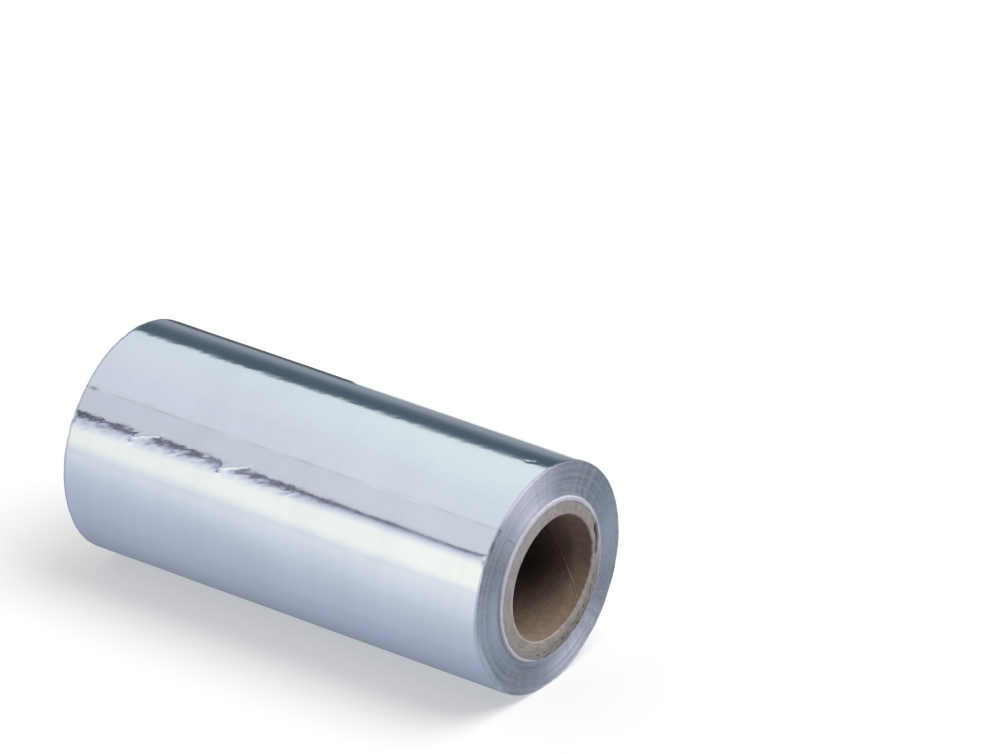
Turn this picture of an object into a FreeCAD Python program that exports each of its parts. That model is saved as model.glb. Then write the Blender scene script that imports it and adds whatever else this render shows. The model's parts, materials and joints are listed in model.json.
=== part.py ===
# Hair foil roll: one long strip of thin aluminium foil wound on a spiral-ply paper core.
#
# The roll lies on its side. X runs along it and Z is up. The soft turns take a small flat
# under the roll's own weight, and the origin is the middle of that flat.
# Angles are in degrees about the roll's axis, turned from +Y towards +Z.
import FreeCAD, Part
import math
import os

# Foil strip, in millimetres
FOIL_WIDTH = 130.0
ROLL_DIAMETER = 61.4
LAP_ANGLE = 132.0      # where the strip's loose end lies on the roll
LAP_STEP = 0.1         # how far the loose end stands above the turn under it
BAND = 1.1             # thickness of a band of turns that strays one way
STRAY = 0.16           # furthest that a band strays along the roll
STRAY_TURN = 2.4       # phase, in radians, from one band to the next
FIRST_PROUD = 0.45     # how far the first turns on the core stand out at the near end
FIRST_BANDS = 2        # bands over which that dies away
FLAT_WIDTH = 9.0       # resting flat

# Paper core
BORE_DIAMETER = 32.5
CORE_WALL = 5.5
CORE_PROUD = 1.0       # how far the core stands out of the foil at each end
RIM_BEVEL = 0.3        # crushed corner that the cut leaves on both rims of each end
MOUTH_WEAR = 1.2       # how far the near mouth of the bore is worn outwards on one side
MOUTH_DEPTH = 6.0      # how deep the worn place starts
MOUTH_PLACE = 5.0      # angle of that side

# Butt joint of the innermost ply, which shows as a helical seam in the bore
SEAM_PITCH = 79.0
SEAM_WIDTH = 0.6
SEAM_DEPTH = 0.35
SEAM_EXIT = -49.0      # where the seam comes out at the near end

# Slit where two plies have parted at the near end
SPLIT_START = 22.0     # angle of its outer tip
SPLIT_END = -6.0       # angle of its inner tip
SPLIT_START_INSET = 1.3  # from the outside of the core to the outer tip
SPLIT_END_INSET = 3.8    # from the outside of the core to the inner tip
SPLIT_WIDTH = 0.5
SPLIT_DEPTH = 4.0

# Sizes that follow
ROLL_RADIUS = ROLL_DIAMETER / 2
BORE_RADIUS = BORE_DIAMETER / 2
CORE_RADIUS = BORE_RADIUS + CORE_WALL
CORE_LENGTH = FOIL_WIDTH + 2 * CORE_PROUD
NEAR_END = CORE_LENGTH / 2
AXIS_HEIGHT = math.sqrt(ROLL_RADIUS ** 2 - (FLAT_WIDTH / 2) ** 2)
OVERCUT = 1.0          # how far a cutting solid runs past what it cuts

CENTRE = FreeCAD.Vector(0, 0, 0)
ALONG = FreeCAD.Vector(1, 0, 0)


def spoke(angle, length):
    """A vector square to the roll's axis, at an angle from +Y towards +Z."""
    turn = math.radians(angle)
    return FreeCAD.Vector(0, length * math.cos(turn), length * math.sin(turn))


def last_turn():
    """Face inside the outermost turn.

    Four quarter arcs, each a quarter step larger than the one before and tangent to it,
    come round to the loose end, which stands one step above where they began.
    """
    growth = LAP_STEP / 4
    centre = CENTRE
    radius = ROLL_RADIUS - 3 * growth
    angle = LAP_ANGLE
    edges = []
    for _ in range(4):
        start, middle, end = (centre + spoke(angle + turn, radius) for turn in (0, 45, 90))
        edges.append(Part.Arc(start, middle, end).toShape())
        angle += 90
        centre = centre - spoke(angle, growth)
        radius += growth
    lap = Part.makeLine(edges[-1].Vertexes[-1].Point, edges[0].Vertexes[0].Point)
    return Part.Face(Part.Wire(edges + [lap]))


def strip_edges():
    """Ring whose two ends follow the strip's two edges.

    The strip has one width, so a band of turns that stands out at one end lies as deep
    at the other.
    """
    bands = int((ROLL_RADIUS - CORE_RADIUS) / BAND)
    edge = []
    for k in range(bands + 1):
        proud = FIRST_PROUD * max(0, 1 - k / FIRST_BANDS)
        edge.append((CORE_RADIUS + k * BAND, proud + STRAY * math.sin(STRAY_TURN * k)))
    edge.append((ROLL_RADIUS + OVERCUT, edge[-1][1]))
    near = [FreeCAD.Vector(shift + FOIL_WIDTH / 2, 0, radius) for radius, shift in edge]
    far = [FreeCAD.Vector(shift - FOIL_WIDTH / 2, 0, radius) for radius, shift in reversed(edge)]
    section = Part.Face(Part.makePolygon(near + far + near[:1]))
    return section.revolve(CENTRE, ALONG, 360)


def rest_block():
    """What the roll's own weight presses flat: everything lower than the resting flat."""
    size = 2 * (ROLL_RADIUS + OVERCUT)
    length = CORE_LENGTH + 2 * OVERCUT
    corner = FreeCAD.Vector(-length / 2, -size / 2, -AXIS_HEIGHT - size)
    return Part.makeBox(length, size, size, corner)


def foil_winding():
    """All the foil's turns, as one solid that sits on the core."""
    length = CORE_LENGTH + 2 * OVERCUT
    turns = last_turn().extrude(ALONG * length)
    turns.translate(ALONG * (-length / 2))
    return turns.common(strip_edges()).cut(rest_block())


def core_tube():
    """The plain tube, cut to length, with both rims of each end bevelled a little."""
    start = ALONG * (-NEAR_END)
    tube = Part.makeCylinder(CORE_RADIUS, CORE_LENGTH, start, ALONG)
    tube = tube.cut(Part.makeCylinder(BORE_RADIUS, CORE_LENGTH, start, ALONG))
    rims = [edge for edge in tube.Edges if isinstance(edge.Curve, Part.Circle)]
    return tube.makeChamfer(RIM_BEVEL, rims)


def bore_seam():
    """Left-hand helical groove along the whole bore, where the inner ply's edges meet."""
    length = CORE_LENGTH + 2 * OVERCUT
    helix = Part.makeHelix(SEAM_PITCH, length, BORE_RADIUS, 0, True)
    inner = BORE_RADIUS - SEAM_DEPTH
    outer = BORE_RADIUS + SEAM_DEPTH
    half = SEAM_WIDTH / 2
    corners = [(inner, -half), (outer, -half), (outer, half), (inner, half), (inner, -half)]
    section = Part.makePolygon([FreeCAD.Vector(reach, 0, along) for reach, along in corners])
    groove = Part.Wire(helix).makePipeShell([section], True, True)
    turned = SEAM_EXIT + 360 * (NEAR_END + length / 2) / SEAM_PITCH
    groove.rotate(CENTRE, FreeCAD.Vector(0, 0, 1), turned)
    groove.rotate(CENTRE, FreeCAD.Vector(1, 1, 1), 120)  # its axis from Z to X, its angles from X to Y
    groove.translate(ALONG * (-length / 2))
    return groove


def ply_split():
    """Crescent slit in the near end: two arcs that share their tips, carried inwards."""
    start_radius = CORE_RADIUS - SPLIT_START_INSET
    end_radius = CORE_RADIUS - SPLIT_END_INSET
    middle_angle = (SPLIT_START + SPLIT_END) / 2
    middle_radius = (start_radius + end_radius) / 2
    start = spoke(SPLIT_START, start_radius)
    end = spoke(SPLIT_END, end_radius)
    sides = []
    for offset in (-SPLIT_WIDTH / 2, SPLIT_WIDTH / 2):
        middle = spoke(middle_angle, middle_radius + offset)
        sides.append(Part.Arc(start, middle, end).toShape())
    crescent = Part.Face(Part.Wire(Part.__sortEdges__(sides)))
    crescent.translate(ALONG * (NEAR_END - SPLIT_DEPTH))
    return crescent.extrude(ALONG * (SPLIT_DEPTH + OVERCUT))


def mouth_wear():
    """Leaning plug, as wide as the bore, that wears one side of the near mouth outwards."""
    deep = ALONG * (NEAR_END - MOUTH_DEPTH)
    out = ALONG * MOUTH_DEPTH + spoke(MOUTH_PLACE, MOUTH_WEAR)
    return Part.makeCylinder(BORE_RADIUS, 2 * MOUTH_DEPTH, deep, out)


def paper_core():
    """The spiral-wound paper tube, with its bore's seam, its worn mouth and its parted plies."""
    return core_tube().cut(bore_seam()).cut(mouth_wear()).cut(ply_split())


def main():
    os.makedirs("parts", exist_ok=True)
    for name, shape in (("foil_winding", foil_winding()), ("paper_core", paper_core())):
        shape.translate(FreeCAD.Vector(0, 0, AXIS_HEIGHT))
        shape.exportStep(f"parts/{name}.step")


main()
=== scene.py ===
import json
import math

import bpy
import numpy as np
from mathutils import Matrix, Vector


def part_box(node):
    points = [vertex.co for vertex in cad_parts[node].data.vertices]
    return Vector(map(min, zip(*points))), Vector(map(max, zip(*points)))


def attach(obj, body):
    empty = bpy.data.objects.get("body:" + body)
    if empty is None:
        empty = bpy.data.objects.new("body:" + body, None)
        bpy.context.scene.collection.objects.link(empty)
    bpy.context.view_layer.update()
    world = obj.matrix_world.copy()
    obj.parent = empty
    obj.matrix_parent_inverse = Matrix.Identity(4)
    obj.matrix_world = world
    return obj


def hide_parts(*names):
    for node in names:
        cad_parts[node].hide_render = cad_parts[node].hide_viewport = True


bl_info = {
    "name": "Hair foil roll",
    "version": (1, 0, 0),
    "blender": (4, 5, 0),
    "location": "View3D > Sidebar > Foil Roll",
    "description": "Builds a roll of thin aluminium foil on a paper core, and a plain studio",
    "category": "Add Mesh",
}

# The roll lies along X with its near end at +X, and Z is up. Lengths are in metres.
# A place round the roll is an angle about its axis, turned from +Y towards +Z.

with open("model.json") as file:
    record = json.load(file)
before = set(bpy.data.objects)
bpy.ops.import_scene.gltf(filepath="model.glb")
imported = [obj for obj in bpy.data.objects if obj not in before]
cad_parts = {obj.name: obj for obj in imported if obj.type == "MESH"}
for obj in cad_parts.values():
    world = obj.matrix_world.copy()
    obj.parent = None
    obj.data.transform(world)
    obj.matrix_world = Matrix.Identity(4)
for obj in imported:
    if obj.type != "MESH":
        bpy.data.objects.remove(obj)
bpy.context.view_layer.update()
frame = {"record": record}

MM = 0.001
DEGREE = math.pi / 180
FOIL_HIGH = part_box("foil_winding")[1]
CORE_LOW, CORE_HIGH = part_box("paper_core")
BORE = next(mount for mount in frame["record"]["mounts"] if mount["name"] == "core_bore")
AXIS_HEIGHT = BORE["pos_m"][2]
BORE_RADIUS = BORE["dims"]["r_mm"] * MM
CORE_RADIUS = (CORE_HIGH.y - CORE_LOW.y) / 2
CORE_HALF = CORE_HIGH.x
FOIL_RADIUS = FOIL_HIGH.z - AXIS_HEIGHT
FOIL_HALF = 65 * MM  # half the strip's width


# ---------------- properties


class FoilSettings(bpy.types.PropertyGroup):
    """Sizes and colours of the wound foil."""

    lap_angle: bpy.props.FloatProperty(
        name="Lap angle", description="Place of the strip's loose edge",
        default=132 * DEGREE, subtype="ANGLE", unit="ROTATION")
    lap_step: bpy.props.FloatProperty(
        name="Lap step", description="Height of the loose edge above the turn under it",
        default=0.1 * MM, subtype="DISTANCE", unit="LENGTH", precision=6)
    rim_round: bpy.props.FloatProperty(
        name="Rim rounding", description="Radius of the rounded rim at each end of the roll",
        default=0.2 * MM, subtype="DISTANCE", unit="LENGTH", precision=6)
    stray: bpy.props.FloatProperty(
        name="Stray", description="How far bands of turns shift along the roll",
        default=0.03 * MM, subtype="DISTANCE", unit="LENGTH", precision=6)
    start_shift: bpy.props.FloatProperty(
        name="Start shift",
        description="How far the first turns on the core stand out at the near end",
        default=0.45 * MM, subtype="DISTANCE", unit="LENGTH", precision=6)
    face_color: bpy.props.FloatVectorProperty(
        name="Foil", description="Colour of the foil's bright face",
        default=(0.86, 0.893, 0.872), subtype="COLOR", size=3, min=0, max=1)
    edge_color: bpy.props.FloatVectorProperty(
        name="Edges", description="Colour of the many cut edges at the roll's ends",
        default=(0.63, 0.66, 0.72), subtype="COLOR", size=3, min=0, max=1)


class CoreSettings(bpy.types.PropertyGroup):
    """Sizes and colours of the paper core."""

    seam_pitch: bpy.props.FloatProperty(
        name="Seam pitch", description="Length of one turn of the bore's helical seam",
        default=79 * MM, subtype="DISTANCE", unit="LENGTH")
    seam_exit: bpy.props.FloatProperty(
        name="Seam exit", description="Place where the seam comes out at the near end",
        default=-49 * DEGREE, subtype="ANGLE", unit="ROTATION")
    mouth_wear: bpy.props.FloatProperty(
        name="Mouth wear",
        description="How far the near mouth of the bore is worn outwards on one side",
        default=1.5 * MM, subtype="DISTANCE", unit="LENGTH", precision=6)
    pale_ply: bpy.props.FloatProperty(
        name="Pale ply", description="Thickness of the pale plies round the outside of the core",
        default=1.05 * MM, subtype="DISTANCE", unit="LENGTH", precision=6)
    bore_color: bpy.props.FloatVectorProperty(
        name="Bore", description="Colour of the bore's brown ply",
        default=(0.27, 0.195, 0.15), subtype="COLOR", size=3, min=0, max=1)
    end_color: bpy.props.FloatVectorProperty(
        name="Cut end", description="Colour of the core's cut end",
        default=(0.385, 0.346, 0.325), subtype="COLOR", size=3, min=0, max=1)
    pale_color: bpy.props.FloatVectorProperty(
        name="Pale plies", description="Colour of the pale plies",
        default=(0.66, 0.65, 0.74), subtype="COLOR", size=3, min=0, max=1)


class StudioSettings(bpy.types.PropertyGroup):
    """The studio's camera and light."""

    azimuth: bpy.props.FloatProperty(
        name="Azimuth", description="Camera's turn round the roll: 0 looks along +Y, 90 along -X",
        default=35.84 * DEGREE, subtype="ANGLE", unit="ROTATION")
    elevation: bpy.props.FloatProperty(
        name="Elevation", description="Camera's height above the horizon",
        default=27.95 * DEGREE, subtype="ANGLE", unit="ROTATION")
    distance: bpy.props.FloatProperty(
        name="Distance", description="From the camera to the roll",
        default=2.115, subtype="DISTANCE", unit="LENGTH")
    lens: bpy.props.FloatProperty(
        name="Lens", description="Focal length in millimetres on a 36 mm frame",
        default=300.7, subtype="DISTANCE_CAMERA")
    aim_right: bpy.props.FloatProperty(
        name="Aim right", description="How far to the right of the roll the camera aims",
        default=40.7 * MM, subtype="DISTANCE", unit="LENGTH")
    aim_up: bpy.props.FloatProperty(
        name="Aim up", description="How far above the roll the camera aims",
        default=32.36 * MM, subtype="DISTANCE", unit="LENGTH")
    sky: bpy.props.FloatProperty(
        name="Soft light", description="Strength of the even light from all round",
        default=0.6, min=0)
    key: bpy.props.FloatProperty(
        name="Key light", description="Strength of the large soft lamp far overhead",
        default=2.2, min=0)


# ---------------- shader helpers


class Value:
    """A node's output that Python's operators work on: each one adds a Math node."""

    def __init__(self, tree, node, output=0):
        self.tree = tree
        self.source = node
        self.socket = node.outputs[output]

    def other(self, output):
        """Another output of the same node."""
        return Value(self.tree, self.source, output)

    def math(self, operation, *operands):
        """The result of one Math node on numbers or links."""
        inputs = dict(enumerate(operands))
        return self.tree.node("ShaderNodeMath", {"operation": operation}, inputs)

    def __add__(self, other):
        return self.math("ADD", self, other)

    def __radd__(self, other):
        return self.math("ADD", other, self)

    def __sub__(self, other):
        return self.math("SUBTRACT", self, other)

    def __rsub__(self, other):
        return self.math("SUBTRACT", other, self)

    def __mul__(self, other):
        return self.math("MULTIPLY", self, other)

    def __rmul__(self, other):
        return self.math("MULTIPLY", other, self)


class Tree:
    """The node tree of a material or of the world."""

    def __init__(self, owner):
        owner.use_nodes = True
        self.nodes = owner.node_tree.nodes
        self.links = owner.node_tree.links
        self.nodes.clear()

    def node(self, kind, settings=None, inputs=None, output=0):
        """Adds a node, with its settings first and then its inputs' values or links."""
        made = self.nodes.new(kind)
        for name, setting in (settings or {}).items():
            setattr(made, name, setting)
        for name, value in (inputs or {}).items():
            if isinstance(value, Value):
                self.links.new(value.socket, made.inputs[name])
            else:
                made.inputs[name].default_value = value
        return Value(self, made, output) if made.outputs else None

    def mix(self, factor, first, second):
        """A colour between two colours: the Mix node's colour sockets are 6, 7 and output 2."""
        inputs = {0: factor, 6: first, 7: second}
        return self.node("ShaderNodeMix", {"data_type": "RGBA"}, inputs, 2)

    def levels(self, factor, color, low, high):
        """A colour from a low to a high level of itself."""
        return self.mix(factor, rgba(color, low), rgba(color, high))

    def step(self, value, low, high):
        """A smooth step from 0 to 1 as value goes from low to high."""
        ends = {"Value": value, "From Min": low, "From Max": high}
        return self.node("ShaderNodeMapRange", {"interpolation_type": "SMOOTHSTEP"}, ends)

    def place(self):
        """The shaded point's place in metres, as one vector."""
        return self.node("ShaderNodeTexCoord", output="Object")

    def attribute(self, name, output="Fac"):
        """An attribute of the piece's own mesh."""
        return self.node("ShaderNodeAttribute", {"attribute_name": name}, None, output)

    def vector_math(self, operation, *operands):
        """Vector maths on vectors or links."""
        inputs = dict(enumerate(operands))
        return self.node("ShaderNodeVectorMath", {"operation": operation}, inputs)

    def stretched(self, vector, factors):
        """A vector times one factor for each axis."""
        return self.vector_math("MULTIPLY", vector, factors)

    def scaled(self, vector, factor):
        """A vector made longer or shorter."""
        inputs = {"Vector": vector, "Scale": factor}
        return self.node("ShaderNodeVectorMath", {"operation": "SCALE"}, inputs)

    def noise(self, vector, scale, detail=2.0, roughness=0.5):
        """Noise that changes with a vector, scale times for each metre."""
        inputs = {"Vector": vector, "Scale": scale, "Detail": detail, "Roughness": roughness}
        return self.node("ShaderNodeTexNoise", None, inputs)

    def lines(self, value, scale, detail=2.0, roughness=0.5):
        """Noise that changes with one number only."""
        inputs = {"W": value, "Scale": scale, "Detail": detail, "Roughness": roughness}
        return self.node("ShaderNodeTexNoise", {"noise_dimensions": "1D"}, inputs)

    def bump(self, height, distance, normal=None):
        """A normal tilted by a height of 0 to 1 that stands for a distance in metres."""
        inputs = {"Height": height, "Distance": distance}
        if normal:
            inputs["Normal"] = normal
        return self.node("ShaderNodeBump", None, inputs)

    def principled(self, **inputs):
        """The general shader, its inputs named with underscores for spaces."""
        named = {name.replace("_", " "): value for name, value in inputs.items()}
        return self.node("ShaderNodeBsdfPrincipled", None, named)

    def blend(self, factor, first, second):
        """A shader between two shaders."""
        return self.node("ShaderNodeMixShader", None, {0: factor, 1: first, 2: second})

    def seen(self):
        """One on rays from the camera, and on rays that metal or glass sends on."""
        ray = self.node("ShaderNodeLightPath", output="Is Camera Ray")
        return ray.math("MAXIMUM", ray, ray.math(
            "MAXIMUM", ray.other("Is Glossy Ray"), ray.other("Is Transmission Ray")))

    def surface(self, shader, output="ShaderNodeOutputMaterial"):
        """Makes a shader the surface of the material or of the world."""
        self.node(output, None, {"Surface": shader})


def new_material(name):
    """An empty material, and its node tree."""
    material = bpy.data.materials.new(name)
    return material, Tree(material)


def rgba(color, level=1.0):
    """A colour with its alpha, lightened or darkened."""
    return (*(channel * level for channel in color[:3]), 1.0)


# ---------------- surface helpers


GRADING_SAMPLES = 8001


def graded(start, stop, count, dense=()):
    """Positions from start to stop, closer together in places.

    dense holds (from, to, times) rows: there the spacing is that many times finer. The
    positions are where the running total of the density has risen by equal amounts.
    """
    fine = np.linspace(start, stop, GRADING_SAMPLES)
    density = np.ones_like(fine)
    for low, high, times in dense:
        density += (times - 1) * ((fine >= low) & (fine <= high))
    total = np.concatenate([[0.0], np.cumsum((density[1:] + density[:-1]) / 2)])
    return np.interp(np.linspace(0, total[-1], count), total, fine)


def ripples(along, turn, rng, count, shortest, longest, slope):
    """Smooth random relief of a roll's face, in metres, of about one slope throughout.

    It is a sum of cosines. Each wave has its own length, its own direction on the unrolled
    face and its own phase, a whole number of waves round the roll, and a height in
    proportion to its length.
    """
    relief = 0.0
    for _ in range(count):
        length = rng.uniform(shortest, longest)
        heading = rng.uniform(0, np.pi)
        number = round(2 * np.pi * FOIL_RADIUS * math.sin(heading) / length)
        start = rng.uniform(0, 2 * np.pi)
        phase = 2 * np.pi * math.cos(heading) * along / length + number * turn + start
        relief = relief + slope * length / (2 * np.pi) * math.sqrt(2 / count) * np.cos(phase)
    return relief


def hump(distance, width):
    """A bell curve: one at no distance, and about a third one width away."""
    return np.exp(-((distance / width) ** 2))


def crease(along, around, centre, lean, length, fade, above, below):
    """A sharp-crested ridge of unit height on the unrolled face.

    It runs along a leaning line, fading out in a smooth step before its half length, and
    falls off as a decaying exponential to each side, with its own width above and below.
    """
    across_x = along - centre[0]
    across_y = around - centre[1]
    onward = across_x * math.cos(lean) + across_y * math.sin(lean)
    sideways = across_y * math.cos(lean) - across_x * math.sin(lean)
    width = np.where(sideways > 0, below, above)
    return smooth_step(np.abs(onward), length, length - fade) * np.exp(-np.abs(sideways) / width)


def smooth_step(value, low, high):
    """Zero at low, one at high, and an S curve between."""
    share = np.clip((value - low) / (high - low), 0, 1)
    return share * share * (3 - 2 * share)


def apart(turn, place):
    """The angle between a turn and a place, the short way round."""
    return (turn - place + np.pi) % (2 * np.pi) - np.pi


def beside(turn, place, width):
    """A bell curve of the angle from a place, where the place and its width are in degrees."""
    return hump(apart(turn, place * DEGREE), width * DEGREE)


def stacked(x, y, z):
    """One array of points from three arrays or numbers, each spread to the size of the others."""
    return np.stack(np.broadcast_arrays(x, y, z), -1)


def round_axis(along, reach, turn):
    """Points from cylindrical coordinates about the roll's axis."""
    return stacked(along, reach * np.cos(turn), AXIS_HEIGHT + reach * np.sin(turn))


def grid_mesh(name, points, closed, materials, zones=0, **marks):
    """An object from a grid of points, closed on itself both ways or open.

    zones gives each row of faces its material, and marks are numbers or colours kept with
    the points as attributes.
    """
    rows, columns = points.shape[:2]
    index = np.arange(rows * columns).reshape(rows, columns)
    if closed:
        index = np.pad(index, ((0, 1), (0, 1)), mode="wrap")
    quads = np.stack([index[:-1, :-1], index[1:, :-1], index[1:, 1:], index[:-1, 1:]], -1)
    mesh = bpy.data.meshes.new(name)
    mesh.from_pydata(points.reshape(-1, 3), [], quads.reshape(-1, 4))
    for material in materials:
        mesh.materials.append(material)
    zone_of_face = np.broadcast_to(np.reshape(zones, (-1, 1)), quads.shape[:2])
    mesh.polygons.foreach_set("material_index", zone_of_face.ravel().astype(np.int32))
    mesh.polygons.foreach_set("use_smooth", np.ones(zone_of_face.size, bool))
    for mark, values in marks.items():
        flat = np.ascontiguousarray(values, np.float32).ravel()
        colored = np.ndim(values) == 3
        kept = mesh.attributes.new(mark, "FLOAT_COLOR" if colored else "FLOAT", "POINT")
        kept.data.foreach_set("color" if colored else "value", flat)
    mesh.update()
    made = bpy.data.objects.new(name, mesh)
    bpy.context.collection.objects.link(made)
    return made


# ---------------- foil


# The foil's grid: how many columns and rows it has, and where they stand closer together, as
# from, to and times. Columns go by their share of one turn, counted from the loose edge.
FOIL_COLUMNS = 268
WRINKLE_COLUMNS = (9 / 360, 22 / 360, 8.0)
TOP_COLUMNS = (0.874, 0.892, 5.0)
LAP_COLUMNS = (0.985, 1.0, 3.0), (0.0, 0.004, 4.0)
FACE_ROWS = 286
FACE_HALF = 64.2 * MM  # half the length of the face between the rounded rims
WRINKLE_ROWS = (-FACE_HALF, 25 * MM, 2.6)
DENT_ROWS = (58 * MM, 62 * MM, 2.0)
END_ROWS = 30
RIM_ROWS = (0, 0.1, 2.0)

WRINKLE_PLACE = 146 * DEGREE
LONG_CREASES = -42 * MM, -14 * MM  # where they stand along the roll
SHORT_CREASES = 130
TOP_PLACE = 89.5 * DEGREE
DENTS = (58.2 * MM, 0.5 * MM, 0.06 * MM), (59.7 * MM, 1.2 * MM, 0.08 * MM)  # along, below, deep
BANDS = (2.3, 1.0), (1.25, 0.8), (0.9, 0.35)  # thickness in millimetres, and share of the stray
FACET_LEANS = -0.6, -0.15, 0.3, 0.85  # how far the cut edges' facets lean outwards
FOIL_SEED = 11

# Places round the roll, each with its width, in degrees
SOFT_RIM = -163, 24
WORN_RIM = 122, 30
ROUGH_RIM = 137, 14
SHADED_HOOK = 139, 10
LOW_SIDE = -150, 22


def foil_face(settings):
    """The foil's bright face: a near mirror with rolling lines and faint smears round the roll."""
    material, tree = new_material("foil_face")
    place = tree.place()
    rolling = tree.noise(
        tree.stretched(place, (1.0, 0.02, 0.02)), scale=4600.0, detail=3.0, roughness=0.6)
    mottle = tree.noise(tree.stretched(place, (1.5, 0.6, 0.6)), scale=620.0, detail=2.0)
    clouds = tree.noise(place, scale=40.0, detail=3.0, roughness=0.55)
    smears = tree.noise(
        tree.stretched(place, (1.0, 0.2, 0.2)), scale=420.0, detail=3.0, roughness=0.5)
    shade = tree.step(clouds * 0.55 + rolling * 0.22 + smears * 0.23, 0.37, 0.63)
    color = tree.levels(shade, settings.face_color, 0.972, 1.018)
    # Painted shade: darker along the loose edge, at a spot at its far end and on the near rim's
    # hook
    color = tree.mix(tree.attribute("lap"), color, rgba(settings.face_color, 0.3))
    normal = tree.bump(mottle, 0.007 * MM, tree.bump(rolling, 0.0007 * MM))
    tree.surface(tree.principled(
        Base_Color=color, Metallic=1.0, Roughness=0.075 + 0.05 * shade, Normal=normal))
    return material


def foil_edges(settings):
    """The turns' cut edges: fine rings, leaning in and out, that smear light along the radius.

    Four facets of one metal, blended evenly, lean inwards and outwards by fixed amounts. Each
    also leans with the bands and rings, and to the side with the streaks.
    """
    material, tree = new_material("foil_edges")
    place = tree.place()
    from_axis = tree.vector_math("SUBTRACT", place, (0, 0, AXIS_HEIGHT))
    outward = tree.stretched(from_axis, (0, 1, 1))
    reach = tree.vector_math("LENGTH", outward).other("Value")
    direction = tree.vector_math("NORMALIZE", outward)
    reach = reach + tree.noise(place, scale=60.0, detail=2.0) * 0.5 * MM
    rings = tree.lines(reach, scale=5000.0, detail=3.0, roughness=0.6)
    bands = tree.lines(reach, scale=1000.0, detail=1.0)
    streaks = tree.noise(direction, scale=14.0, detail=3.0, roughness=0.5)
    flat = tree.node("ShaderNodeNewGeometry", output="Normal")
    tangent = tree.vector_math("CROSS_PRODUCT", (1, 0, 0), direction)
    sideways = tree.scaled(tangent, (streaks - 0.5) * 0.24)
    tone = tree.step(bands * 0.5 + rings * 0.15 + streaks * 0.35, 0.33, 0.67)
    color = tree.levels(tone, settings.edge_color, 0.95, 1.03)
    # Painted highlight: the bright crescent on the near end's low side
    color = tree.mix(tree.attribute("bright"), color, rgba(settings.edge_color, 1.38))
    # Painted shade on the hook at the near rim, from the same mark
    color = tree.mix(tree.attribute("lap"), color, rgba(settings.edge_color, 0.35))
    facets = []
    for lean in FACET_LEANS:
        sloped = tree.scaled(direction, lean + (bands - 0.5) * 0.5 + (rings - 0.5) * 0.12)
        normal = tree.vector_math("NORMALIZE", tree.vector_math(
            "ADD", flat, tree.vector_math("ADD", sloped, sideways)))
        facets.append(tree.principled(
            Base_Color=color, Metallic=1.0, Roughness=0.24 + 0.06 * tone, Normal=normal))
    inner, outer = tree.blend(0.5, *facets[:2]), tree.blend(0.5, *facets[2:])
    tree.surface(tree.blend(0.5, inner, outer))
    return material


def wrinkles(along, turn, rng):
    """Relief of the wrinkled strip below the loose edge, over the far half of the roll.

    Its middle leans a little, and fine ripples run along it, under a bell curve of the
    distance from its line. Two long creases lean across it, each with a pimple at its lower
    end, and many short creases lean the same way.
    """
    around = FOIL_RADIUS * (turn - WRINKLE_PLACE)
    far = 1 - smooth_step(along, -2 * MM, 24 * MM)
    band = hump(around - 0.6 * MM, 2.2 * MM)
    relief = 0.014 * around * hump(around, 3 * MM) * hump(along - 6 * MM, 38 * MM)
    relief += far * band * ripples(
        along, turn, rng, count=24, shortest=1.8 * MM, longest=5 * MM, slope=0.011)
    relief += (0.25 + 0.75 * far) * band * ripples(
        along, turn, rng, count=30, shortest=0.9 * MM, longest=1.8 * MM, slope=0.01)
    wavering = around + 0.1 * MM * np.sin(along / (0.5 * MM))
    for start in LONG_CREASES:
        relief += 0.09 * MM * crease(
            along, wavering, (start + 0.4 * MM, -0.6 * MM), lean=-19 * DEGREE,
            length=5 * MM, fade=1.5 * MM, above=0.7 * MM, below=0.38 * MM)
        pimple = np.hypot(along - start + 4.3 * MM, around - 2.4 * MM)
        relief += 0.06 * MM * hump(pimple, 0.6 * MM)
    relief += 0.02 * MM * crease(
        along, around, (-61 * MM, 3.8 * MM), lean=-28 * DEGREE,
        length=3 * MM, fade=2 * MM, above=0.3 * MM, below=0.3 * MM)
    for _ in range(SHORT_CREASES):
        centre = (rng.uniform(-67, 24) * MM, rng.uniform(-0.9, 1.9) * MM)
        lean = rng.uniform(-42, -20) * DEGREE
        height = rng.uniform(0.003, 0.012) * MM * rng.choice((-1, 1))
        length = rng.uniform(0.9, 3.2) * MM
        above, below = rng.uniform(0.15, 0.4, 2) * MM
        relief += far * height * crease(along, around, centre, lean, length, length, above, below)
    return relief


def foil_relief(along, turn, rng):
    """How far the foil's face stands out of a true roll or in, in metres.

    It has long ripples all over, the wrinkled strip, and a strip along the top that leans a
    little and has fine ripples, under a bell curve. Each dent is a bell curve too.
    """
    relief = ripples(along, turn, rng, count=30, shortest=9 * MM, longest=40 * MM, slope=0.0042)
    relief += wrinkles(along, turn, rng)
    around = FOIL_RADIUS * apart(turn, TOP_PLACE)
    top = hump(around, 2.6 * MM)
    relief += 0.006 * around * top * hump(along + 5 * MM, 25 * MM)
    relief += top * ripples(
        along, turn, rng, count=60, shortest=0.9 * MM, longest=4 * MM, slope=0.01)
    for place, below, deep in DENTS:
        relief -= deep * hump(np.hypot(along - place, around + below), 0.65 * MM)
    return relief


def shifts(depth, turn, settings, rng):
    """How far the turns at a depth under the outside are shifted along the roll.

    Bands of turns stray to and fro as a sum of cosines of the depth, and the first turns
    on the core stand out at the near end.
    """
    shift = 0.0
    for thickness, share in BANDS:
        drift = 0.6 * np.cos(turn * rng.integers(1, 3) + rng.uniform(0, 2 * np.pi))
        phase = 2 * np.pi * depth / (thickness * MM) + rng.uniform(0, 2 * np.pi) + drift
        shift = shift + share * np.cos(phase)
    wall = FOIL_RADIUS - CORE_RADIUS
    first = smooth_step(depth, wall - 2.4 * MM, wall - 0.7 * MM)
    return settings.stray * shift / 2 + settings.start_shift * first


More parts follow.
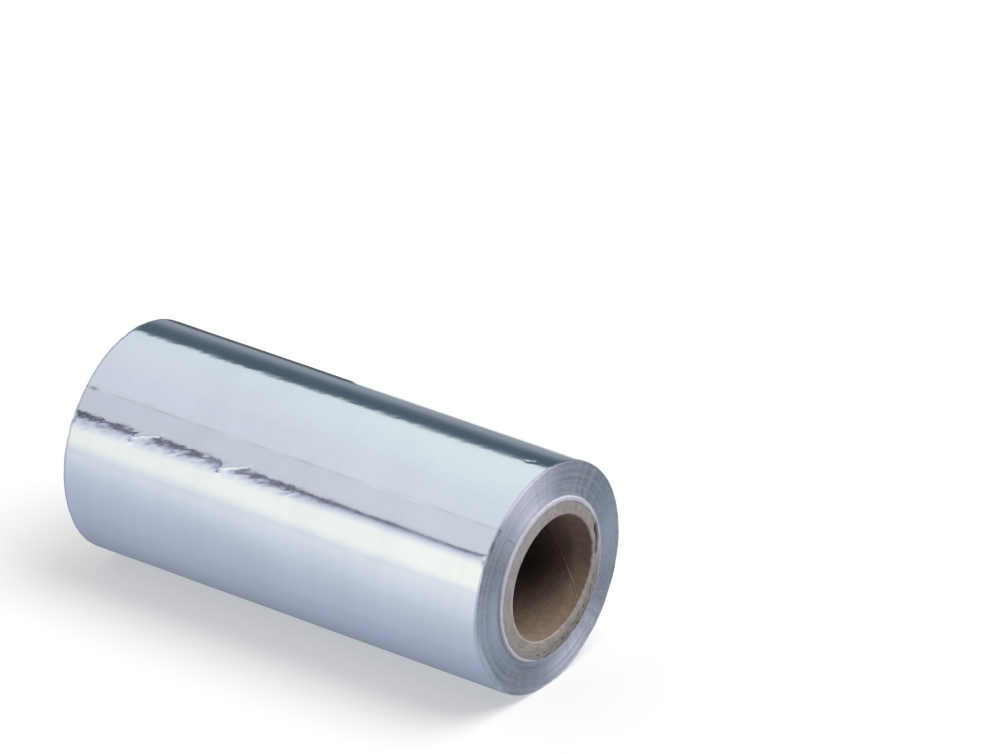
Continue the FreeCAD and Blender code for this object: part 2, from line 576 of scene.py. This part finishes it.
def foil_winding(settings):
    """Grid of the wound foil, from a profile carried once round the roll from the loose edge.

    The profile runs along the outside, round the near rim, in over the near end, back along
    the core and out over the far end. The outside grows by the lap step in one turn, so the
    last column stands that much above the first, where it makes the loose edge.
    """
    rng = np.random.default_rng(FOIL_SEED)
    half = FOIL_HALF
    share = graded(0, 1, FOIL_COLUMNS, [WRINKLE_COLUMNS, TOP_COLUMNS, *LAP_COLUMNS])
    turn = settings.lap_angle + 2 * np.pi * share
    outer = FOIL_RADIUS - settings.lap_step * (1 - share)
    softer = 0.55 * MM * beside(turn, *SOFT_RIM)
    rounding = settings.rim_round + softer + 0.3 * MM * beside(turn, *WORN_RIM)

    outside = graded(-FACE_HALF, FACE_HALF, FACE_ROWS, [WRINKLE_ROWS, DENT_ROWS])[:, None]
    corner = (np.array([0, 22.5, 45, 67.5, 90]) * DEGREE)[:, None]
    inward = graded(0, 1, END_ROWS, [RIM_ROWS])[1:, None]
    wall = outer - CORE_RADIUS - rounding
    rim_x, rim_depth = half - rounding * (1 - np.sin(corner)), rounding * (1 - np.cos(corner))
    end_depth = rounding + inward * wall
    x = np.concatenate([
        outside + 0 * turn, rim_x, half + 0 * end_depth,
        -half + 0 * end_depth, -rim_x[::-1]])
    depth = np.concatenate([
        0 * outside + 0 * turn, rim_depth, end_depth, end_depth[::-1], rim_depth[::-1]])
    zones = np.zeros(len(x), int)
    zones[len(outside) - 1:] = 1

    # The face has its relief, the rim its nicks, rougher below the loose edge's near end, and
    # the loose edge lifts in patches
    face = smooth_step(depth, rounding, 0.0)
    nicks = ripples(0 * x, turn, rng, count=40, shortest=1.2 * MM, longest=5 * MM, slope=0.055)
    nicks = nicks * (1 + (x > 0) * beside(turn, *ROUGH_RIM))
    reach = outer - depth + face * foil_relief(x, turn, rng)
    reach -= face * hump(half - np.abs(x), 0.7 * MM) * (0.04 * MM + nicks)
    lifted = hump(FOIL_RADIUS * 2 * np.pi * (1 - share), 1.3 * MM)
    reach += face * lifted * (0.03 * MM + ripples(
        x, 0 * turn, rng, count=12, shortest=5 * MM, longest=30 * MM, slope=0.012))
    on_end = smooth_step(np.abs(x), half - rounding, half)
    x = x + on_end * (shifts(depth, turn, settings, rng) + 2 * nicks * hump(depth, 0.5 * MM))
    points = round_axis(x, reach, turn)
    points[..., 2] = np.maximum(points[..., 2], 0)

    # The lap's dark line, painted shade in patches that two cosines along the roll make, with a
    # darker painted spot at its far end and painted shade on a hook at the near rim
    patchy = 0.9 + 0.35 * np.cos(2 * np.pi * x / (47 * MM) - 1.0)
    patchy = patchy + 0.3 * np.cos(2 * np.pi * (x + 10 * MM) / (14.3 * MM))
    lap = 0.3 * face * patchy * (hump(share, 0.0007) + hump(1 - share, 0.0012))
    from_lap = FOIL_RADIUS * apart(turn, settings.lap_angle)
    lap += 0.75 * face * hump(np.hypot((x + 62.3 * MM) / 3, from_lap + 0.1 * MM), 0.42 * MM)
    hook = smooth_step(x, FACE_HALF, 64.7 * MM) * hump(depth, 0.5 * MM) * beside(turn, *SHADED_HOOK)
    hook = hook * (0.45 + 0.55 * smooth_step(nicks, -0.02 * MM, 0.06 * MM))

    # A painted highlight: the bright crescent on the near end's low side, strongest past the
    # rounded rim
    low_side = beside(turn, *LOW_SIDE)
    crescent = smooth_step(depth - 2.3 * MM * low_side, 0.1 * MM, -0.15 * MM)
    bright = (x > 0) * smooth_step(low_side, 0.1, 0.5) * crescent
    bright = bright * (0.3 + 0.5 * smooth_step(depth, 0.7 * rounding, rounding))
    return points[::-1], np.roll(zones[::-1], -1), np.clip(lap + hook, 0, 1)[::-1], bright[::-1]


class FOILROLL_OT_winding(bpy.types.Operator):
    """Wound foil with its loose edge, wrinkles and uneven ends"""

    bl_idname = "foilroll.winding"
    bl_label = "Wound foil"

    def execute(self, context):
        settings = context.scene.foil_roll_foil
        points, zones, lap, bright = foil_winding(settings)
        materials = [foil_face(settings), foil_edges(settings)]
        made = grid_mesh("wound_foil", points, True, materials, zones, lap=lap, bright=bright)
        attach(made, "root")
        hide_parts("foil_winding")
        return {"FINISHED"}


# ---------------- core


# The core's grid, given as the foil's is. Columns go by their share of one turn, counted from
# the seam.
CORE_COLUMNS = 400
SEAM_COLUMNS = (0, 0.012, 6.0), (0.988, 1.0, 6.0)
SLIT_COLUMNS = (0.11, 0.21, 2.0)
BORE_ROWS = 96
MOUTH_ROWS = (44 * MM, 66 * MM, 6.0)
WALL_ROWS = 38
SKIN_ROWS = 18
TIP_ROWS = (64 * MM, 66 * MM, 12.0), (-66 * MM, -64 * MM, 12.0)

BEVEL = 0.3 * MM
SLIT_START, SLIT_END = -5 * DEGREE, 23 * DEGREE  # places of the slit's two tips
SLIT_SPAN = 27 * DEGREE  # over which the slit's reach rises
SLIT_TAPER = 3 * DEGREE  # over which each tip closes
CORE_SEED = 5

# Places round the core, each with its width, in degrees
WORN_MOUTH = 4, 50
WORN_TOP = 75, 30
NIBBLED = -5, 60
WIDE_SLIT = 18, 5
FLAP = -1, 9
TORN = -62, 50
THIN_PALE = 6, 22
PALER_SIDE = 122, 62
PALE_RIM = 18, 34
PALE_RIM_OPPOSITE = 182, 40
SHADED_DEPTH = -28, 34
SHADED_MOUTH = -18, 32


def paper(name, color, pale_color, grain):
    """Matt paper: mottled, with short fibres, paler or darker where its marks say."""
    material, tree = new_material(name)
    place = tree.place()
    mottle = tree.noise(place, scale=480.0, detail=4.0, roughness=0.62)
    fibres = tree.noise(tree.stretched(place, grain), scale=2600.0, detail=2.0, roughness=0.6)
    shade = tree.step(mottle * 0.6 + fibres * 0.4, 0.36, 0.64)
    tint = tree.levels(shade, color, 0.82, 1.16)
    pale = tree.levels(shade, pale_color, 0.92, 1.06)
    tint = tree.mix(tree.attribute("pale"), tint, pale)
    # The darker marks are partly painted shade, in the slit, the pits, the seam's gap and deep in
    # the bore
    shadow = [level * share for level, share in zip(color, (0.065, 0.11, 0.09))]
    tint = tree.mix(tree.attribute("dark"), tint, rgba(shadow))
    rough = 0.8 + 0.12 * mottle
    normal = tree.bump(mottle + fibres, 0.07 * MM)
    tree.surface(tree.principled(Base_Color=tint, Roughness=rough, Normal=normal))
    return material


def paper_core(settings):
    """Grid of the paper tube, whose columns follow the helical seam along the bore.

    The profile runs along the bore, out over the near end, back along the outside and in
    over the far end. Every row is turned by the helix, so the seam is the first column.
    """
    rng = np.random.default_rng(CORE_SEED)
    half, bore, outer = CORE_HALF, BORE_RADIUS, CORE_RADIUS
    share = graded(0, 1, CORE_COLUMNS, [*SEAM_COLUMNS, SLIT_COLUMNS])
    seam_turn = 2 * np.pi * share
    inside = graded(-half + BEVEL, half - BEVEL, BORE_ROWS, [MOUTH_ROWS])[:, None]
    across = np.linspace(0, 1, WALL_ROWS)[:, None]
    outside = graded(half - BEVEL, -half + BEVEL, SKIN_ROWS, TIP_ROWS)[:, None]
    end_reach = bore + BEVEL + across * (outer - bore - 2 * BEVEL)
    x = np.concatenate([inside, half + 0 * across, outside, -half + 0 * across])
    reach = np.concatenate([bore + 0 * inside, end_reach, outer + 0 * outside, end_reach[::-1]])
    zones = np.repeat([0, 1, 2, 1], [BORE_ROWS - 1, WALL_ROWS + 1, SKIN_ROWS, WALL_ROWS])
    turn = seam_turn + settings.seam_exit - 2 * np.pi * (x - half) / settings.seam_pitch
    on_bore = reach <= bore + BEVEL / 2
    on_end = (np.abs(x) > half - BEVEL / 2).astype(float)
    near = x > 0
    near_end = near * on_end

    # The seam is a shallow dip all along, with an open gap inside the near mouth and a lip
    # nearer to it. The mouth is worn outwards on one side, and a little at its top.
    off_seam = apart(seam_turn, 0) * bore
    gap = hump(off_seam, 0.28 * MM) * smooth_step(x, 60 * MM, 54 * MM)
    gap = gap * smooth_step(x, 42 * MM, 46 * MM)
    dip = hump(off_seam, 0.3 * MM)
    lip = hump(off_seam - 0.45 * MM, 0.4 * MM) * smooth_step(x, 52 * MM, 58 * MM)
    lip = lip * (1 - 0.75 * smooth_step(x, 60.5 * MM, 64 * MM))
    reach = reach + on_bore * (0.4 * MM * gap + 0.07 * MM * dip - 0.2 * MM * lip)
    mouth = near * smooth_step(x, half - 6 * MM, half)
    mouth = mouth * (beside(turn, *WORN_MOUTH) + 0.25 * beside(turn, *WORN_TOP))
    reach = reach + smooth_step(reach, bore + 4 * MM, bore) * settings.mouth_wear * mouth
    x, turn = np.broadcast_arrays(x, turn)

    # The slit's reach rises as a power of the angle from its lower tip. Beside it is the flap.
    # The torn part of the pale plies has pits where fine ripples rise above a level, and the
    # whole cut end is a little fuzzy.
    from_start = apart(turn, SLIT_START)
    slit_reach = 18.9 * MM + 1.5 * MM * np.clip(from_start / SLIT_SPAN, 0, 1) ** 0.9
    within = smooth_step(from_start, 0, SLIT_TAPER)
    within = within * smooth_step(apart(turn, SLIT_END), 0, -SLIT_TAPER)
    slit_width = 0.24 * MM + 0.22 * MM * beside(turn, *WIDE_SLIT)
    slit = near_end * within * hump(reach - slit_reach, slit_width)
    flap = near_end * beside(turn, *FLAP) * hump(reach - slit_reach - 0.85 * MM, 0.4 * MM)
    torn = near_end * beside(turn, *TORN) * smooth_step(reach, 18 * MM, 19.4 * MM)
    fuzz = on_end * ripples(
        reach * 3.0, turn, rng, count=50, shortest=1.2 * MM, longest=5 * MM, slope=0.06)
    pits = ripples(reach * 4.0, turn, rng, count=40, shortest=2 * MM, longest=6 * MM, slope=1.0)
    pits = np.clip(pits / MM * 3 - 2.1, 0, 1) * torn ** 1.5
    x = x - np.sign(x) * (slit * 2.2 * MM + pits * 0.4 * MM) + fuzz * 0.6 + 0.3 * MM * flap

    # Pale: the outer plies, less where they are torn, paler towards one side of each cut end and in
    # rings round the mouth's rim, the flap, and a painted highlight on the seam's lip
    pale_from = outer - settings.pale_ply * (1 - 0.75 * torn)
    pale = smooth_step(reach, pale_from - 0.15 * MM, pale_from + 0.1 * MM)
    pale = pale * (1 - 0.8 * torn * on_end - 0.35 * near * beside(turn, *THIN_PALE))
    paler_side = 0.17 * on_end * beside(turn, *PALER_SIDE)
    pale_rim = near_end * (
        0.6 * hump(reach - bore - 0.6 * MM, 0.5 * MM) * beside(turn, *PALE_RIM)
        + 0.8 * hump(reach - bore - 0.3 * MM, 0.3 * MM) * beside(turn, *PALE_RIM_OPPOSITE))
    # The seam's lip is paler: a painted highlight
    pale = np.clip(pale + on_bore * 0.45 * lip + flap + paler_side + pale_rim, 0, 1)

    # Dark: the torn part and the ply line, and painted shade in the slit, the pits, the seam's gap
    # and the bore's depth
    line = on_end * hump(reach - pale_from + 0.3 * MM, 0.12 * MM) * 0.3
    inwards = half - np.abs(x)
    # Painted shade: darker deeper into the bore, most on two sides of it
    deep = on_bore * (
        0.22 * smooth_step(inwards, 3 * MM, 15 * MM)
        + 0.3 * smooth_step(inwards, 7 * MM, 16 * MM) * beside(turn, *SHADED_DEPTH)
        + 0.28 * smooth_step(inwards, 3 * MM, 9 * MM) * beside(turn, *SHADED_MOUTH))
    dark = np.clip(0.9 * slit + 0.6 * pits + 0.36 * torn + on_bore * gap * 0.8 + deep + line, 0, 1)

    # The mouth's nibbled rim, on the worn side
    nibbled = beside(turn, *NIBBLED) * ripples(
        0 * turn, turn, rng, count=30, shortest=1.5 * MM, longest=5 * MM, slope=0.2)
    at_mouth = smooth_step(x, half - 2.5 * MM, half)
    reach = reach + nibbled * at_mouth * smooth_step(reach, bore + 3.5 * MM, bore + 1 * MM)
    return round_axis(x, reach, turn), zones, pale, dark


class FOILROLL_OT_core(bpy.types.Operator):
    """Spiral-wound paper core"""

    bl_idname = "foilroll.core"
    bl_label = "Paper core"

    def execute(self, context):
        settings = context.scene.foil_roll_core
        points, zones, pale, dark = paper_core(settings)
        materials = [
            paper("core_bore", settings.bore_color, settings.end_color, (0.3, 1, 1)),
            paper("core_end", settings.end_color, settings.pale_color, (1, 1, 1)),
            paper("core_skin", settings.pale_color, settings.pale_color, (0.3, 1, 1))]
        made = grid_mesh("core_tube", points, True, materials, zones, pale=pale, dark=dark)
        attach(made, "root")
        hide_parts("paper_core")
        return {"FINISHED"}


# ---------------- studio


FLOOR_HEIGHT = -0.05 * MM
ROOM_HEIGHT = 0.04 * MM  # height of the card that shows the floor all round
CARD_HEIGHT = 0.1 * MM  # height of the cards that lie on it
GRAZING = 0.005  # slope of the flattest ray that still meets the floor
FAR_RUN = 1.5  # how far a card goes on past its far station
NEAR_PART = 0.35  # part of its run that it goes on by past its near station
SPLIT_STATIONS = -9.5 * MM, -8.5 * MM  # between them the floor behind turns from dark to pale


def towards_camera(settings):
    """The unit vector from the roll towards the camera, from its azimuth and elevation."""
    a, e = settings.azimuth, settings.elevation
    return math.sin(a) * math.cos(e), -math.cos(a) * math.cos(e), math.sin(e)


def mirrored(settings, place, station, reach):
    """Where the camera's ray goes that the roll mirrors at a place and a station along X.

    The ray leaves at twice the place less the camera's angle about the axis. It ends on a
    circle about the axis, or on the floor if reach is zero. Returns x, y and z.
    """
    back_x, back_y, back_z = towards_camera(settings)
    leaves = 2 * place - math.atan2(back_z, back_y)
    start_y, start_z = FOIL_RADIUS * math.cos(place), FOIL_RADIUS * math.sin(place)
    if reach:
        skew = FOIL_RADIUS * math.sin(place - leaves)
        run = math.sqrt(reach ** 2 - skew ** 2) - FOIL_RADIUS * math.cos(place - leaves)
    else:
        run = (AXIS_HEIGHT + start_z - CARD_HEIGHT) / max(-math.sin(leaves), GRAZING)
    x = station - run * back_x / math.hypot(back_y, back_z)
    z = AXIS_HEIGHT + start_z + run * math.sin(leaves) if reach else CARD_HEIGHT
    return x, start_y + run * math.cos(leaves), z


def glowing_card(name, points, tones, metal):
    """A card that only reflections in metal show, in the tones that they are to have there.

    Its colours are those tones over the metal's own colour, with an alpha of one.
    """
    tones = np.pad(np.array(tones) / np.array(metal), ((0, 0), (0, 0), (0, 1)), constant_values=1)
    material, tree = new_material(name)
    tree.surface(tree.node("ShaderNodeEmission", None, {"Color": tree.attribute("tone", "Color")}))
    made = grid_mesh(name, points, False, [material], 0, tone=tones)
    made.visible_camera = False
    made.visible_diffuse = False
    made.visible_transmission = False
    made.visible_shadow = False


def card(settings, name, rows, reach, stations=(-FOIL_HALF, FOIL_HALF)):
    """A long card along the roll.

    Each row gives the places round the roll where it is seen mirrored, and the tones it
    has there, at the far and at the near station. The card goes on past both, but past the
    near one by a part of its run only, so it stays clear of what the near end mirrors.
    """
    points, tones = [], []
    for far_place, near_place, far_tone, near_tone in rows:
        far = mirrored(settings, far_place * DEGREE, stations[0], reach)
        near = mirrored(settings, near_place * DEGREE, stations[1], reach)
        past = NEAR_PART * near[0] + (1 - NEAR_PART) * stations[1] + FOIL_HALF - stations[1]
        points.append([(far[0] - FAR_RUN, *far[1:]), far, near, (past, *near[1:])])
        tones.append([far_tone, far_tone, near_tone, near_tone])
    glowing_card(name, np.array(points), tones, bpy.context.scene.foil_roll_foil.face_color)


def cards(settings):
    """The cards round the body, in rows of far and near place, far and near tone.

    They are glowing stand-ins, seen only mirrored, for the floor and the wall behind it, a
    panel above with its dark edge, and the floor in front. Their shadow tones, and the floor
    in front darkening towards the roll, are a painted shadow of the roll.
    """
    slate, night = (0.065, 0.098, 0.133), (0.085, 0.098, 0.12)
    shadow, pale = (0.254, 0.292, 0.352), (0.8, 0.83, 0.85)
    card(settings, "floor_behind", [
        (57.0, 57.0, night, pale), (63.0, 63.0, night, pale), (66.5, 66.6, night, shadow),
        (69.0, 69.0, shadow, shadow), (71.6, 71.6, shadow, shadow)], 0, SPLIT_STATIONS)
    card(settings, "wall_behind", [
        (70.5, 70.5, shadow, shadow), (75.0, 74.5, (0.22, 0.26, 0.31), (0.22, 0.26, 0.31)),
        (79.0, 78.0, (0.125, 0.16, 0.205), (0.12, 0.155, 0.2)),
        (83.0, 82.0, (0.073, 0.108, 0.146), (0.063, 0.096, 0.13)),
        (88.3, 86.4, slate, slate), (90.3, 88.4, (0.085, 0.115, 0.15), (0.12, 0.16, 0.2)),
        (91.3, 89.4, (0.2, 0.25, 0.3), (0.23, 0.28, 0.34)),
        (92.3, 90.6, (0.4, 0.47, 0.54), (0.44, 0.51, 0.57))], 0.5)
    card(settings, "panel_above", [
        (88.0, 86.0, (0.6, 0.68, 0.77), (0.67, 0.746, 0.8)),
        (104.0, 104.0, (0.622, 0.687, 0.758), (0.69, 0.768, 0.815)),
        (120.0, 120.0, (0.592, 0.64, 0.738), (0.64, 0.71, 0.78)),
        (131.8, 131.8, (0.578, 0.631, 0.723), (0.625, 0.692, 0.775)),
        (132.3, 132.3, (0.533, 0.571, 0.66), (0.585, 0.637, 0.725)),
        (145.4, 145.9, (0.533, 0.568, 0.655), (0.607, 0.645, 0.72))], 1.0)
    dusk, gap, haze = (0.07, 0.075, 0.11), (0.1, 0.108, 0.15), (0.67, 0.72, 0.8)
    white, glow = (0.803, 0.856, 0.842), (0.87, 0.915, 0.872)
    card(settings, "panel_edge", [
        (144.4, 145.8, (0.22, 0.23, 0.29), (0.17, 0.18, 0.23)),
        (145.4, 146.1, dusk, gap), (145.8, 146.3, dusk, gap),
        (146.6, 146.5, (0.19, 0.2, 0.265), (0.18, 0.19, 0.25)),
        (147.6, 147.0, (0.32, 0.34, 0.46), (0.38, 0.41, 0.54)),
        (149.2, 147.8, (0.53, 0.57, 0.69), (0.57, 0.61, 0.73)),
        (151.2, 148.7, haze, haze), (153.6, 150.8, white, glow), (159.2, 161.0, white, glow),
        (162.0, 162.6, (0.71, 0.76, 0.8), (0.815, 0.857, 0.855)),
        (163.6, 163.6, (0.64, 0.695, 0.755), (0.77, 0.82, 0.835))], 0.95)
    # The floor in front darkens towards the roll: a painted shadow in what the foil mirrors
    card(settings, "floor_in_front", [
        (163.3, 163.3, (0.64, 0.695, 0.755), (0.765, 0.81, 0.83)),
        (168.0, 168.0, (0.6, 0.655, 0.745), (0.68, 0.73, 0.785)),
        (172.5, 172.5, (0.52, 0.577, 0.68), (0.62, 0.675, 0.76)),
        (177.5, 177.5, (0.46, 0.512, 0.63), (0.555, 0.615, 0.72)),
        (183.0, 183.0, (0.428, 0.475, 0.595), (0.47, 0.54, 0.64)),
        (196.0, 196.0, (0.366, 0.412, 0.53), (0.39, 0.45, 0.56)),
        (208.0, 208.0, (0.31, 0.352, 0.464), (0.316, 0.357, 0.472)),
        (219.0, 219.0, (0.255, 0.29, 0.38), (0.255, 0.292, 0.39)),
        (229.0, 229.0, (0.21, 0.245, 0.32), (0.21, 0.245, 0.32)),
        (238.0, 238.0, (0.19, 0.22, 0.29), (0.19, 0.22, 0.29))], 0)


def room_cards():
    """What the foil mirrors beyond the other cards: the floor all round, and a wall behind.

    The floor's tone rises with the distance from the roll, as distance over distance plus a
    length, a painted shadow of the roll, and evens out towards its near end, which the
    roll's near end doesn't mirror.
    """
    metal = bpy.context.scene.foil_roll_foil.face_color
    side = np.array([0.05, 0.1, 0.2, 0.4, 1.0, 3.0])
    y = np.concatenate([-side[::-1], [0.0], side])[:, None]
    near, far = np.array((0.25, 0.29, 0.38)), np.array((0.76, 0.81, 0.835))
    half_way = 0.12
    tones = near + (far - near) * np.abs(y) / (np.abs(y) + half_way)
    even = np.array([0.0, 0.0, 0.12, 0.5, 0.88, 1.0])[:, None]
    spread = FOIL_HALF + 0.06 * np.abs(y)
    steps = [spread - back * MM for back in (60, 48, 34, 18, 0)]
    x = np.concatenate([-3.0 + 0 * y, *steps], axis=1)
    points = stacked(x, y, ROOM_HEIGHT)
    tones = tones[:, None] + (np.array((0.42, 0.48, 0.58)) - tones[:, None]) * even
    glowing_card("floor_around", points, tones, metal)
    height = np.array([0.0, 0.25, 0.6, 1.0])[:, None]
    slate, white = np.array((0.24, 0.29, 0.35)), np.array((0.84, 0.883, 0.86))
    tones = slate + (white - slate) * smooth_step(height, 0.1, 1.0)
    points = stacked(np.array([-2.6, 2.6]), 1.7, height)
    glowing_card("wall_beyond", points, np.repeat(tones[:, None], 2, axis=1), metal)


def end_card(settings):
    """The card beyond the near end, whose turns lean in and out and smear it along the radius.

    Its rows stand where the camera's rays go that the end mirrors when a turn leans by some
    tilt towards a place round the roll, up to the tilt that would mirror the roll itself.
    Its tone is a dark one, plus a bell curve of the place for each lighter or darker side.
    """
    back = np.array(towards_camera(settings))
    place = np.linspace(-np.pi, np.pi, 121)[:, None]
    lean = back[1] * np.cos(place) + back[2] * np.sin(place)
    tilt = np.linspace(0.001, 0.98, 10) * (np.pi / 4 + np.arctan2(lean, back[0]) / 2)
    normal = stacked(np.cos(tilt), np.sin(tilt) * np.cos(place), np.sin(tilt) * np.sin(place))
    ray = 2 * (normal @ back)[..., None] * normal - back
    tones = np.zeros((*tilt.shape, 3)) + (0.09, 0.122, 0.145)
    for middle, width, tone in (
            (111, 23, (0.65, 0.66, 0.77)), (-70, 21, (0.5, 0.44, 0.58)),
            (186, 29, (0.25, 0.28, 0.37)), (2, 21, (0.2, 0.22, 0.25)),
            (62, 13, (0.19, 0.16, 0.19)), (152, 12, (-0.04, -0.05, -0.08)),
            (-34, 15, (-0.08, -0.09, -0.12)), (-107, 13, (-0.08, -0.08, -0.07)),
            (36, 13, (-0.12, -0.11, -0.14)), (-138, 15, (0.07, 0.075, 0.09))):
        tones += beside(place, middle, width)[..., None] * np.array(tone)
    glowing_card("end_card", (FOIL_HALF, 0, AXIS_HEIGHT) + ray, tones, (0.62, 0.655, 0.7))


def white_background(settings):
    """White to the camera and in what metal mirrors, and an even soft light on the rest."""
    world = bpy.data.worlds.new("studio")
    bpy.context.scene.world = world
    tree = Tree(world)
    level = tree.seen() * (1 - settings.sky) + settings.sky
    back = tree.node("ShaderNodeBackground", None, {"Color": (1, 1, 1, 1), "Strength": level})
    tree.surface(back, "ShaderNodeOutputWorld")


def studio_floor():
    """A large white floor with the roll's soft shadow. The foil mirrors the cards on it instead.

    Where it is seen it glows a little, which lightens the shadow. It throws less light back
    up than it shows, so the core's depth stays dark.
    """
    ends = np.array([-6.0, 6.0])
    points = stacked(ends[None, :], ends[:, None], FLOOR_HEIGHT)
    material, tree = new_material("floor")
    grain = tree.noise(tree.place(), scale=60.0)
    pale = tree.mix(grain, (0.93, 0.93, 0.93, 1), (0.95, 0.95, 0.95, 1))
    lit = tree.principled(Base_Color=pale, Roughness=0.8, Specular_IOR_Level=0.0)
    glow = tree.node("ShaderNodeEmission", None, {"Color": (1, 1, 1, 1)})
    dull = tree.principled(Base_Color=(0.5, 0.5, 0.5, 1), Roughness=0.8, Specular_IOR_Level=0.0)
    tree.surface(tree.blend(tree.seen(), dull, tree.blend(0.4, lit, glow)))
    made = grid_mesh("floor", points, False, [material])
    made.visible_glossy = False


def dark_wall(settings):
    """The dark end of the room, behind the camera. It keeps light out of the core's depth."""
    a, distance = settings.azimuth, 2.6
    sideways, height = np.array([-3.2, 4.5])[:, None], np.array([0.0, 3.6])
    x = math.sin(a) * distance + math.cos(a) * sideways
    y = -math.cos(a) * distance + math.sin(a) * sideways
    material, tree = new_material("dark_wall")
    folds = tree.noise(tree.place(), scale=9.0)
    cloth = tree.mix(folds, (0.01, 0.01, 0.01, 1), (0.02, 0.02, 0.02, 1))
    tree.surface(tree.principled(Base_Color=cloth, Roughness=0.9, Specular_IOR_Level=0.0))
    made = grid_mesh("dark_wall", stacked(x, y, height), False, [material])
    made.visible_glossy = False


def soft_lamp(name, direction, spread, strength):
    """A wide soft lamp, so far off that it lights the whole floor alike. No reflection shows it."""
    lamp = bpy.data.lights.new(name, "SUN")
    lamp.angle = spread
    lamp.energy = strength
    made = bpy.data.objects.new(name, lamp)
    made.rotation_euler = (-Vector(direction)).to_track_quat("-Z", "Y").to_euler()
    made.visible_glossy = False
    bpy.context.collection.objects.link(made)


def camera(settings):
    """The camera, turned to the azimuth and elevation, and aimed beside the roll."""
    back = Vector(towards_camera(settings))
    right = Vector((math.cos(settings.azimuth), math.sin(settings.azimuth), 0))
    up = back.cross(right)
    aim = Vector((0, 0, AXIS_HEIGHT)) + right * settings.aim_right + up * settings.aim_up
    data = bpy.data.cameras.new("camera")
    data.sensor_width = 36.0
    data.lens = settings.lens
    made = bpy.data.objects.new("camera", data)
    turned = Matrix((right, up, back)).transposed().to_4x4()
    made.matrix_world = Matrix.Translation(aim + back * settings.distance) @ turned
    bpy.context.collection.objects.link(made)
    bpy.context.scene.camera = made


class FOILROLL_OT_studio(bpy.types.Operator):
    """Camera, white background, floor, lamp and the cards that the foil mirrors"""

    bl_idname = "foilroll.studio"
    bl_label = "Studio"

    def execute(self, context):
        settings = context.scene.foil_roll_studio
        context.scene.view_settings.view_transform = "Standard"
        camera(settings)
        white_background(settings)
        studio_floor()
        dark_wall(settings)
        soft_lamp("key", (0.42, 0.2, 1.0), 44 * DEGREE, settings.key)
        cards(settings)
        room_cards()
        end_card(settings)
        return {"FINISHED"}


class FOILROLL_PT_panel(bpy.types.Panel):
    """Lists the roll's sizes and the steps that build it"""

    bl_label = "Foil Roll"
    bl_idname = "FOILROLL_PT_panel"
    bl_space_type = "VIEW_3D"
    bl_region_type = "UI"
    bl_category = "Foil Roll"

    def draw(self, context):
        for group, step in STEPS:
            settings = getattr(context.scene, group)
            for name in settings.bl_rna.properties.keys():
                if name not in ("name", "rna_type"):
                    self.layout.prop(settings, name)
            self.layout.operator(step)


STEPS = (
    ("foil_roll_foil", "foilroll.winding"),
    ("foil_roll_core", "foilroll.core"),
    ("foil_roll_studio", "foilroll.studio"),
)
GROUPS = {
    "foil_roll_foil": FoilSettings,
    "foil_roll_core": CoreSettings,
    "foil_roll_studio": StudioSettings,
}
CLASSES = (
    *GROUPS.values(), FOILROLL_OT_winding, FOILROLL_OT_core, FOILROLL_OT_studio,
    FOILROLL_PT_panel)


def register():
    for kind in CLASSES:
        bpy.utils.register_class(kind)
    for name, kind in GROUPS.items():
        setattr(bpy.types.Scene, name, bpy.props.PointerProperty(type=kind))


def unregister():
    for name in GROUPS:
        delattr(bpy.types.Scene, name)
    for kind in reversed(CLASSES):
        bpy.utils.unregister_class(kind)


def main():
    register()
    bpy.ops.foilroll.winding()
    bpy.ops.foilroll.core()
    bpy.ops.foilroll.studio()


if __name__ == "__main__":
    main()
